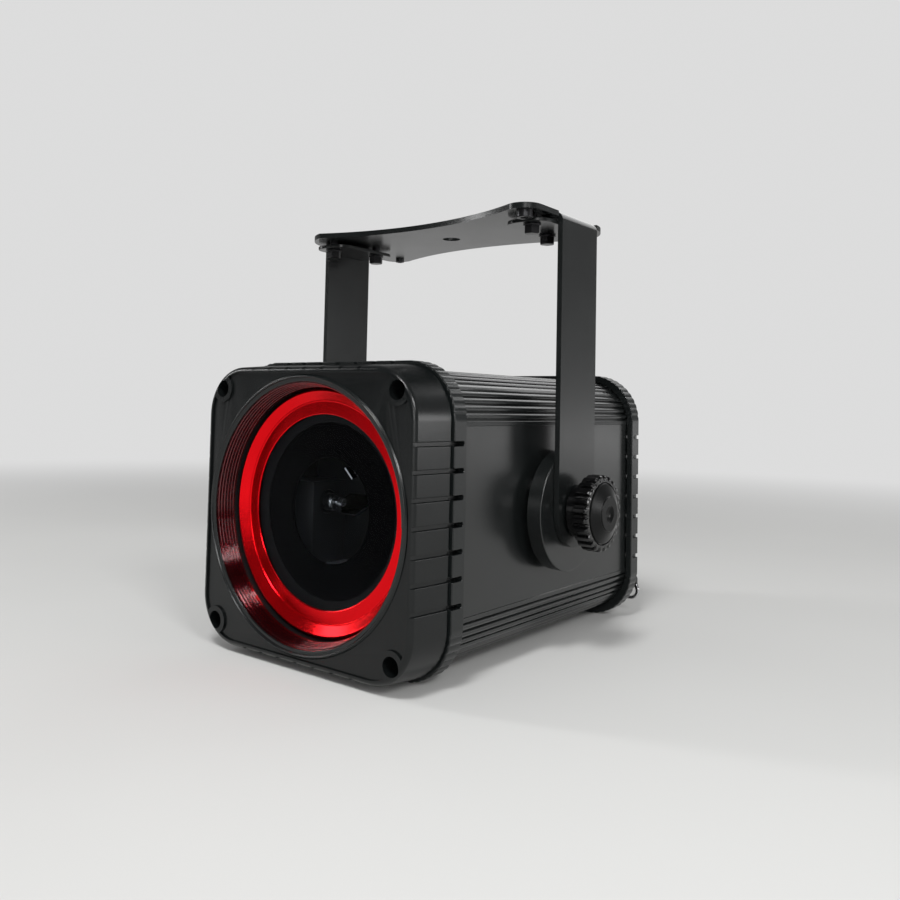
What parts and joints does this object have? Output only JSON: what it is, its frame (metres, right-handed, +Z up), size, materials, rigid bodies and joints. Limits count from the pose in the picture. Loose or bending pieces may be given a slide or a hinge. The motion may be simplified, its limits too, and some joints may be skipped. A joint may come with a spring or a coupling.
{
  "type": "laser light projector",
  "caption": "Show laser projector with a square front plate, round window in a red ring, ribbed body between slotted collars, and a tilting yoke clamped by fluted knobs.",
  "frame": {"origin": "centre of the box's footprint, on the plane the two collars stand on", "axes": "+Z up, -Y out of the window towards the audience, X along the yoke's pivot axis"},
  "size_m": [0.2222, 0.2438, 0.2433],
  "materials": {
    "cast_black": "satin black powder coat on cast aluminium",
    "body_black": "black anodised aluminium, satin",
    "strap_black": "satin black powder coat on steel",
    "rubber": "matt black",
    "red_anodised": "red anodised",
    "glass": "coated clear glass",
    "mask_black": "matt black anodised",
    "screw_black": "blackened steel",
    "motor_black": "blackened steel",
    "aluminium": "clear anodised",
    "supply_case": "plain folded case",
    "mirror": "first-surface mirror",
    "board_green": "solder resist",
    "knob_black": "gloss black phenolic",
    "socket_black": "moulded black",
    "plated_steel": "nickel plated",
    "led_red": "clear red lens",
    "screen": "dark glossy panel"
  },
  "bodies": {
    "housing": {"front_bezel": "cast_black", "front_gasket": "rubber", "front_collar": "cast_black", "body_extrusion": "body_black", "rear_collar": "cast_black", "rear_gasket": "rubber", "rear_cover": "cast_black", "lens_ring": "red_anodised", "window_glass": "glass", "window_seal": "rubber", "mask_plate": "mask_black", "front_screw_1": "screw_black", "front_screw_2": "screw_black", "front_screw_3": "screw_black", "front_screw_4": "screw_black", "rear_screw_1": "screw_black", "rear_screw_2": "screw_black", "rear_screw_3": "screw_black", "rear_screw_4": "screw_black", "base_plate": "aluminium", "galvo_mount": "aluminium", "galvo_motor_x": "motor_black", "galvo_motor_y": "motor_black", "laser_module_red": "aluminium", "laser_module_green": "aluminium", "laser_module_blue": "aluminium", "beam_combiner_1": "aluminium", "beam_combiner_2": "aluminium", "galvo_driver_board": "board_green", "power_supply": "supply_case", "power_inlet": "socket_black", "data_in_socket": "plated_steel", "data_out_socket": "plated_steel", "safety_eye": "plated_steel", "key_switch": "plated_steel", "emission_led": "led_red", "pressure_vent": "socket_black", "menu_display": "screen", "pivot_disc_left": "body_black", "pivot_disc_right": "body_black"},
    "tilting_yoke": {"yoke": "strap_black", "stiffener_left": "strap_black", "stiffener_right": "strap_black", "stiffener_bolt_1": "screw_black", "stiffener_bolt_2": "screw_black", "stiffener_bolt_3": "screw_black", "stiffener_bolt_4": "screw_black"},
    "left_knob": {"knob_left": "knob_black", "knob_stud_left": "plated_steel"},
    "right_knob": {"knob_right": "knob_black", "knob_stud_right": "plated_steel"},
    "scan_mirror_x": {"galvo_mirror_x": "mirror"},
    "scan_mirror_y": {"galvo_mirror_y": "mirror"},
    "key_plug": {"key_rotor": "plated_steel"},
    "menu_key_1": {"menu_button_1": "rubber"},
    "menu_key_2": {"menu_button_2": "rubber"},
    "menu_key_3": {"menu_button_3": "rubber"},
    "menu_key_4": {"menu_button_4": "rubber"}
  },
  "joints": [
    {"name": "yoke_tilt", "type": "hinge", "parent": "housing", "child": "tilting_yoke", "pos_m": [0, 0.0027, 0.079], "axis": [1, 0, 0], "continuous": true},
    {"name": "knob_left_turn", "type": "hinge", "parent": "housing", "child": "left_knob", "pos_m": [-0.1, 0.0027, 0.079], "axis": [1, 0, 0], "continuous": true},
    {"name": "knob_right_turn", "type": "hinge", "parent": "housing", "child": "right_knob", "pos_m": [0.1, 0.0027, 0.079], "axis": [1, 0, 0], "continuous": true},
    {"name": "mirror_x_turn", "type": "hinge", "parent": "housing", "child": "scan_mirror_x", "pos_m": [0.0004, -0.0816, 0.098], "axis": [0, 1, 0], "range_deg": [-12, 12]},
    {"name": "mirror_y_turn", "type": "hinge", "parent": "housing", "child": "scan_mirror_y", "pos_m": [0.0004, -0.0816, 0.081], "axis": [1, 0, 0], "range_deg": [-12, 12]},
    {"name": "key_turn", "type": "hinge", "parent": "housing", "child": "key_plug", "pos_m": [-0.052, 0.1042, 0.11], "axis": [0, -1, 0], "range_deg": [0, 90]},
    {"name": "menu_button_1_press", "type": "slide", "parent": "housing", "child": "menu_key_1", "axis": [0, -1, 0], "range_m": [0, 0.0015], "stiffness_N_per_m": 300},
    {"name": "menu_button_2_press", "type": "slide", "parent": "housing", "child": "menu_key_2", "axis": [0, -1, 0], "range_m": [0, 0.0015], "stiffness_N_per_m": 300},
    {"name": "menu_button_3_press", "type": "slide", "parent": "housing", "child": "menu_key_3", "axis": [0, -1, 0], "range_m": [0, 0.0015], "stiffness_N_per_m": 300},
    {"name": "menu_button_4_press", "type": "slide", "parent": "housing", "child": "menu_key_4", "axis": [0, -1, 0], "range_m": [0, 0.0015], "stiffness_N_per_m": 300}
  ]
}
